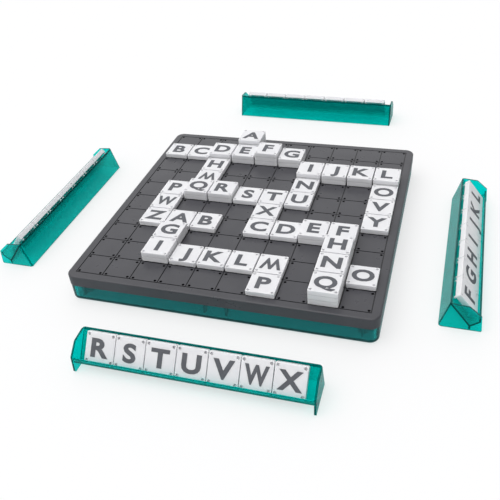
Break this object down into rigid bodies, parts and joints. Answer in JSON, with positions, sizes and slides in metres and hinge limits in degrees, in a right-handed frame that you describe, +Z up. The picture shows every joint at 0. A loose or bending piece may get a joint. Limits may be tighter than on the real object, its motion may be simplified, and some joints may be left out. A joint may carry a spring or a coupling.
{
  "type": "stacking word tile game",
  "caption": "Square socketed board that closes a translucent storage tray, with pegged letter tiles stacked on its cells and sloped tile racks standing round it.",
  "frame": {"origin": "centre of the storage tray's underside, on the table", "axes": "+X to the board's right and +Y to its back as the players at the front see it, +Z up"},
  "size_m": [0.3441, 0.3825, 0.0317],
  "materials": {
    "teal": "clear tinted moulding, polished",
    "charcoal": "fine matte moulding",
    "white": "smooth satin moulding with printed dark grey capitals"
  },
  "bodies": {
    "storage_tray": {"storage_tray": "teal"},
    "board": {"board": "charcoal"},
    "stack_d10": {"stack_d10": "white"},
    "tile_a9": {"tile_a9": "white"},
    "tile_b9": {"tile_b9": "white"},
    "stack_c9": {"stack_c9": "white"},
    "stack_d9": {"stack_d9": "white"},
    "stack_e9": {"stack_e9": "white"},
    "stack_f9": {"stack_f9": "white"},
    "tile_c8": {"tile_c8": "white"},
    "stack_g8": {"stack_g8": "white"},
    "stack_h8": {"stack_h8": "white"},
    "stack_i8": {"stack_i8": "white"},
    "stack_j8": {"stack_j8": "white"},
    "tile_c7": {"tile_c7": "white"},
    "tile_g7": {"tile_g7": "white"},
    "tile_j7": {"tile_j7": "white"},
    "tile_b6": {"tile_b6": "white"},
    "stack_c6": {"stack_c6": "white"},
    "stack_d6": {"stack_d6": "white"},
    "tile_e6": {"tile_e6": "white"},
    "tile_f6": {"tile_f6": "white"},
    "tile_g6": {"tile_g6": "white"},
    "tile_j6": {"tile_j6": "white"},
    "tile_b5": {"tile_b5": "white"},
    "tile_f5": {"tile_f5": "white"},
    "tile_j5": {"tile_j5": "white"},
    "tile_b4": {"tile_b4": "white"},
    "tile_c4": {"tile_c4": "white"},
    "tile_d4": {"tile_d4": "white"},
    "tile_f4": {"tile_f4": "white"},
    "tile_g4": {"tile_g4": "white"},
    "stack_h4": {"stack_h4": "white"},
    "stack_i4": {"stack_i4": "white"},
    "stack_c3": {"stack_c3": "white"},
    "stack_i3": {"stack_i3": "white"},
    "stack_c2": {"stack_c2": "white"},
    "tile_d2": {"tile_d2": "white"},
    "tile_e2": {"tile_e2": "white"},
    "tile_f2": {"tile_f2": "white"},
    "tile_g2": {"tile_g2": "white"},
    "stack_i2": {"stack_i2": "white"},
    "tile_j2": {"tile_j2": "white"},
    "tile_g1": {"tile_g1": "white"},
    "stack_i1": {"stack_i1": "white"},
    "front_rack": {"front_rack": "teal"},
    "rear_rack": {"rear_rack": "teal"},
    "right_rack": {"right_rack": "teal"},
    "left_rack": {"left_rack": "teal"},
    "front_rack_tiles": {"front_rack_tiles": "white"},
    "rear_rack_tiles": {"rear_rack_tiles": "white"},
    "right_rack_tiles": {"right_rack_tiles": "white"},
    "left_rack_tiles": {"left_rack_tiles": "white"}
  },
  "joints": [
    {"name": "board_lift", "type": "slide", "parent": "storage_tray", "child": "board", "axis": [0, 0, 1], "range_m": [0, 0.04]},
    {"name": "stack_d10_lift", "type": "slide", "parent": "board", "child": "stack_d10", "axis": [0, 0, 1], "range_m": [0, 0.03]},
    {"name": "tile_a9_lift", "type": "slide", "parent": "board", "child": "tile_a9", "axis": [0, 0, 1], "range_m": [0, 0.03]},
    {"name": "tile_b9_lift", "type": "slide", "parent": "board", "child": "tile_b9", "axis": [0, 0, 1], "range_m": [0, 0.03]},
    {"name": "stack_c9_lift", "type": "slide", "parent": "board", "child": "stack_c9", "axis": [0, 0, 1], "range_m": [0, 0.03]},
    {"name": "stack_d9_lift", "type": "slide", "parent": "board", "child": "stack_d9", "axis": [0, 0, 1], "range_m": [0, 0.03]},
    {"name": "stack_e9_lift", "type": "slide", "parent": "board", "child": "stack_e9", "axis": [0, 0, 1], "range_m": [0, 0.03]},
    {"name": "stack_f9_lift", "type": "slide", "parent": "board", "child": "stack_f9", "axis": [0, 0, 1], "range_m": [0, 0.03]},
    {"name": "tile_c8_lift", "type": "slide", "parent": "board", "child": "tile_c8", "axis": [0, 0, 1], "range_m": [0, 0.03]},
    {"name": "stack_g8_lift", "type": "slide", "parent": "board", "child": "stack_g8", "axis": [0, 0, 1], "range_m": [0, 0.03]},
    {"name": "stack_h8_lift", "type": "slide", "parent": "board", "child": "stack_h8", "axis": [0, 0, 1], "range_m": [0, 0.03]},
    {"name": "stack_i8_lift", "type": "slide", "parent": "board", "child": "stack_i8", "axis": [0, 0, 1], "range_m": [0, 0.03]},
    {"name": "stack_j8_lift", "type": "slide", "parent": "board", "child": "stack_j8", "axis": [0, 0, 1], "range_m": [0, 0.03]},
    {"name": "tile_c7_lift", "type": "slide", "parent": "board", "child": "tile_c7", "axis": [0, 0, 1], "range_m": [0, 0.03]},
    {"name": "tile_g7_lift", "type": "slide", "parent": "board", "child": "tile_g7", "axis": [0, 0, 1], "range_m": [0, 0.03]},
    {"name": "tile_j7_lift", "type": "slide", "parent": "board", "child": "tile_j7", "axis": [0, 0, 1], "range_m": [0, 0.03]},
    {"name": "tile_b6_lift", "type": "slide", "parent": "board", "child": "tile_b6", "axis": [0, 0, 1], "range_m": [0, 0.03]},
    {"name": "stack_c6_lift", "type": "slide", "parent": "board", "child": "stack_c6", "axis": [0, 0, 1], "range_m": [0, 0.03]},
    {"name": "stack_d6_lift", "type": "slide", "parent": "board", "child": "stack_d6", "axis": [0, 0, 1], "range_m": [0, 0.03]},
    {"name": "tile_e6_lift", "type": "slide", "parent": "board", "child": "tile_e6", "axis": [0, 0, 1], "range_m": [0, 0.03]},
    {"name": "tile_f6_lift", "type": "slide", "parent": "board", "child": "tile_f6", "axis": [0, 0, 1], "range_m": [0, 0.03]},
    {"name": "tile_g6_lift", "type": "slide", "parent": "board", "child": "tile_g6", "axis": [0, 0, 1], "range_m": [0, 0.03]},
    {"name": "tile_j6_lift", "type": "slide", "parent": "board", "child": "tile_j6", "axis": [0, 0, 1], "range_m": [0, 0.03]},
    {"name": "tile_b5_lift", "type": "slide", "parent": "board", "child": "tile_b5", "axis": [0, 0, 1], "range_m": [0, 0.03]},
    {"name": "tile_f5_lift", "type": "slide", "parent": "board", "child": "tile_f5", "axis": [0, 0, 1], "range_m": [0, 0.03]},
    {"name": "tile_j5_lift", "type": "slide", "parent": "board", "child": "tile_j5", "axis": [0, 0, 1], "range_m": [0, 0.03]},
    {"name": "tile_b4_lift", "type": "slide", "parent": "board", "child": "tile_b4", "axis": [0, 0, 1], "range_m": [0, 0.03]},
    {"name": "tile_c4_lift", "type": "slide", "parent": "board", "child": "tile_c4", "axis": [0, 0, 1], "range_m": [0, 0.03]},
    {"name": "tile_d4_lift", "type": "slide", "parent": "board", "child": "tile_d4", "axis": [0, 0, 1], "range_m": [0, 0.03]},
    {"name": "tile_f4_lift", "type": "slide", "parent": "board", "child": "tile_f4", "axis": [0, 0, 1], "range_m": [0, 0.03]},
    {"name": "tile_g4_lift", "type": "slide", "parent": "board", "child": "tile_g4", "axis": [0, 0, 1], "range_m": [0, 0.03]},
    {"name": "stack_h4_lift", "type": "slide", "parent": "board", "child": "stack_h4", "axis": [0, 0, 1], "range_m": [0, 0.03]},
    {"name": "stack_i4_lift", "type": "slide", "parent": "board", "child": "stack_i4", "axis": [0, 0, 1], "range_m": [0, 0.03]},
    {"name": "stack_c3_lift", "type": "slide", "parent": "board", "child": "stack_c3", "axis": [0, 0, 1], "range_m": [0, 0.03]},
    {"name": "stack_i3_lift", "type": "slide", "parent": "board", "child": "stack_i3", "axis": [0, 0, 1], "range_m": [0, 0.03]},
    {"name": "stack_c2_lift", "type": "slide", "parent": "board", "child": "stack_c2", "axis": [0, 0, 1], "range_m": [0, 0.03]},
    {"name": "tile_d2_lift", "type": "slide", "parent": "board", "child": "tile_d2", "axis": [0, 0, 1], "range_m": [0, 0.03]},
    {"name": "tile_e2_lift", "type": "slide", "parent": "board", "child": "tile_e2", "axis": [0, 0, 1], "range_m": [0, 0.03]},
    {"name": "tile_f2_lift", "type": "slide", "parent": "board", "child": "tile_f2", "axis": [0, 0, 1], "range_m": [0, 0.03]},
    {"name": "tile_g2_lift", "type": "slide", "parent": "board", "child": "tile_g2", "axis": [0, 0, 1], "range_m": [0, 0.03]},
    {"name": "stack_i2_lift", "type": "slide", "parent": "board", "child": "stack_i2", "axis": [0, 0, 1], "range_m": [0, 0.03]},
    {"name": "tile_j2_lift", "type": "slide", "parent": "board", "child": "tile_j2", "axis": [0, 0, 1], "range_m": [0, 0.03]},
    {"name": "tile_g1_lift", "type": "slide", "parent": "board", "child": "tile_g1", "axis": [0, 0, 1], "range_m": [0, 0.03]},
    {"name": "stack_i1_lift", "type": "slide", "parent": "board", "child": "stack_i1", "axis": [0, 0, 1], "range_m": [0, 0.03]},
    {"name": "front_rack_lift", "type": "slide", "parent": "storage_tray", "child": "front_rack", "axis": [0, 0, 1], "range_m": [0, 0.05]},
    {"name": "rear_rack_lift", "type": "slide", "parent": "storage_tray", "child": "rear_rack", "axis": [0, 0, 1], "range_m": [0, 0.05]},
    {"name": "right_rack_lift", "type": "slide", "parent": "storage_tray", "child": "right_rack", "axis": [0, 0, 1], "range_m": [0, 0.05]},
    {"name": "left_rack_lift", "type": "slide", "parent": "storage_tray", "child": "left_rack", "axis": [0, 0, 1], "range_m": [0, 0.05]},
    {"name": "front_rack_tiles_slide", "type": "slide", "parent": "front_rack", "child": "front_rack_tiles", "axis": [-0.0033, 0.6211, 0.7837], "range_m": [0, 0.03]},
    {"name": "rear_rack_tiles_slide", "type": "slide", "parent": "rear_rack", "child": "rear_rack_tiles", "axis": [-0.0108, -0.621, 0.7837], "range_m": [0, 0.03]},
    {"name": "right_rack_tiles_slide", "type": "slide", "parent": "right_rack", "child": "right_rack_tiles", "axis": [-0.6211, 0.0054, 0.7837], "range_m": [0, 0.03]},
    {"name": "left_rack_tiles_slide", "type": "slide", "parent": "left_rack", "child": "left_rack_tiles", "axis": [0.6211, 0, 0.7837], "range_m": [0, 0.03]}
  ]
}
